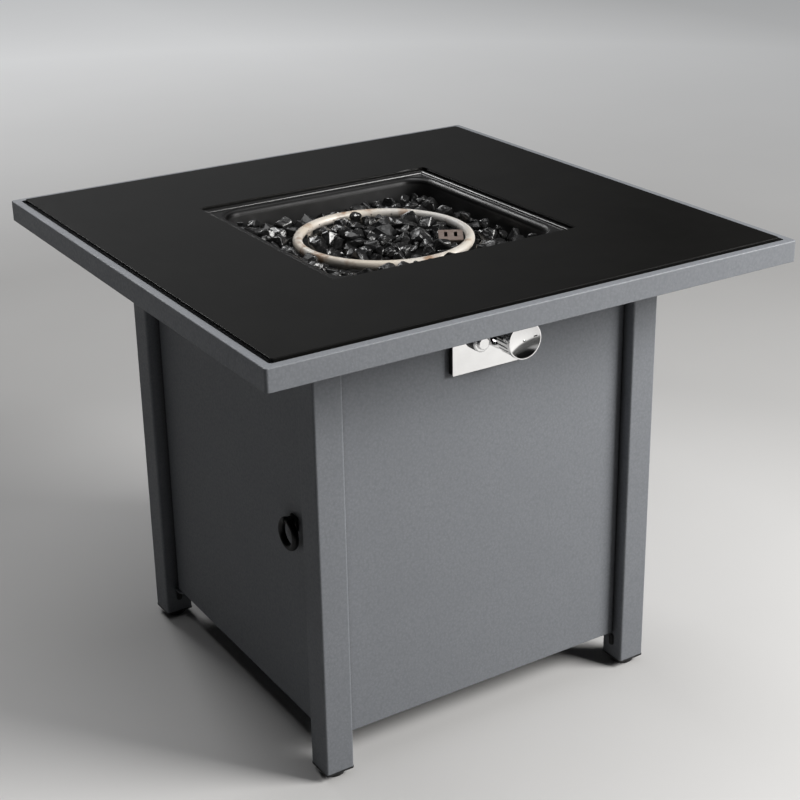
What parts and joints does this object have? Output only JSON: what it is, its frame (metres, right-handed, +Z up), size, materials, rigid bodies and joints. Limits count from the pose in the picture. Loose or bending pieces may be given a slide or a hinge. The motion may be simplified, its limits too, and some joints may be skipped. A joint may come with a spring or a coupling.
{
  "type": "gas fire pit table",
  "caption": "Square grey steel fire pit table: black glass top, drop-in pan with ring burner and broken glass, cabinet base with a bottle bay door, levelling feet and a gas control panel.",
  "frame": {"origin": "on the floor under the middle of the table", "axes": "+Z up, -Y is the front with the control panel, -X is the side with the door"},
  "size_m": [0.762, 0.762, 0.643],
  "materials": {
    "grey_paint": "fine hammertone powder coat",
    "black_glass": "tempered, satin black",
    "pad_rubber": "soft clear pads",
    "black_enamel": "satin black heat-proof paint",
    "bed_glass": "packed broken glass",
    "fire_glass": "broken black glass, glossy",
    "burner_steel": "stainless, straw heat tint",
    "steel": "zinc plated",
    "aluminium": "die cast",
    "brass": "turned",
    "hood_steel": "stainless, brown heat tint",
    "ceramic": "glazed white",
    "silicone": "silicone sleeve",
    "copper": "drawn copper",
    "chrome": "polished",
    "black_plastic": "fine grained black",
    "black_metal": "satin black"
  },
  "bodies": {
    "table": {"top_frame": "grey_paint", "glass_top": "black_glass", "glass_pads": "pad_rubber", "burner_pan": "black_enamel", "fill_bed": "bed_glass", "fire_glass": "fire_glass", "burner_ring": "burner_steel", "ring_stands": "burner_steel", "mixer_tube": "steel", "gas_orifice": "brass", "supply_tube": "aluminium", "burner_screws": "steel", "pilot_hood": "hood_steel", "spark_electrode": "ceramic", "thermocouple": "burner_steel", "igniter_lead": "silicone", "thermocouple_lead": "copper", "gas_valve": "aluminium", "control_plate": "chrome", "control_box": "black_metal", "box_studs": "steel", "igniter_body": "black_plastic", "igniter_collar": "chrome", "front_panel": "grey_paint", "right_panel": "grey_paint", "back_panel": "grey_paint", "door_header": "grey_paint", "panel_screws": "steel", "leg_front_left": "grey_paint", "leg_front_right": "grey_paint", "leg_rear_left": "grey_paint", "leg_rear_right": "grey_paint", "leg_brackets": "grey_paint", "top_studs": "steel", "stud_nuts": "steel", "leg_caps": "black_plastic", "leg_plugs": "black_plastic", "hinge_bracket": "grey_paint", "hinge_pins": "steel", "hinge_washer": "black_plastic", "catch_bracket": "steel", "catch_magnet": "black_plastic"},
    "door": {"door_panel": "grey_paint", "strike_plate": "steel", "pull_base": "black_metal", "pull_pin": "black_metal"},
    "pull": {"pull_ring": "black_metal"},
    "plunger": {"valve_bush": "steel"},
    "knob": {"valve_stem": "steel", "control_knob": "chrome", "knob_pointer": "black_plastic"},
    "button": {"igniter_button": "chrome"},
    "shutter": {"air_shutter": "steel"},
    "foot_fl": {"foot_front_left": "black_metal"},
    "foot_fr": {"foot_front_right": "black_metal"},
    "foot_rl": {"foot_rear_left": "black_metal"},
    "foot_rr": {"foot_rear_right": "black_metal"}
  },
  "joints": [
    {"name": "door_hinge", "type": "hinge", "parent": "table", "child": "door", "pos_m": [-0.236, 0.2095, 0.32], "axis": [0, 0, -1], "range_deg": [0, 95]},
    {"name": "ring_swing", "type": "hinge", "parent": "door", "child": "pull", "pos_m": [-0.2515, -0.169, 0.334], "axis": [0, 1, 0], "range_deg": [0, 92]},
    {"name": "knob_push", "type": "slide", "parent": "table", "child": "plunger", "axis": [0, 1, 0], "range_m": [0, 0.004], "stiffness_N_per_m": 2500},
    {"name": "knob_turn", "type": "hinge", "parent": "plunger", "child": "knob", "pos_m": [0.026, -0.25, 0.551], "axis": [0, -1, 0], "range_deg": [0, 180]},
    {"name": "igniter_push", "type": "slide", "parent": "table", "child": "button", "axis": [0, 1, 0], "range_m": [0, 0.003], "stiffness_N_per_m": 1500},
    {"name": "shutter_turn", "type": "hinge", "parent": "table", "child": "shutter", "pos_m": [0.058, -0.10046, 0.5145], "axis": [0, 0, 1], "range_deg": [-25, 20]},
    {"name": "foot_fl_screw", "type": "slide", "parent": "table", "child": "foot_fl", "axis": [0, 0, 1], "range_m": [-0.01, 0]},
    {"name": "foot_fr_screw", "type": "slide", "parent": "table", "child": "foot_fr", "axis": [0, 0, 1], "range_m": [-0.01, 0]},
    {"name": "foot_rl_screw", "type": "slide", "parent": "table", "child": "foot_rl", "axis": [0, 0, 1], "range_m": [-0.01, 0]},
    {"name": "foot_rr_screw", "type": "slide", "parent": "table", "child": "foot_rr", "axis": [0, 0, 1], "range_m": [-0.01, 0]}
  ]
}
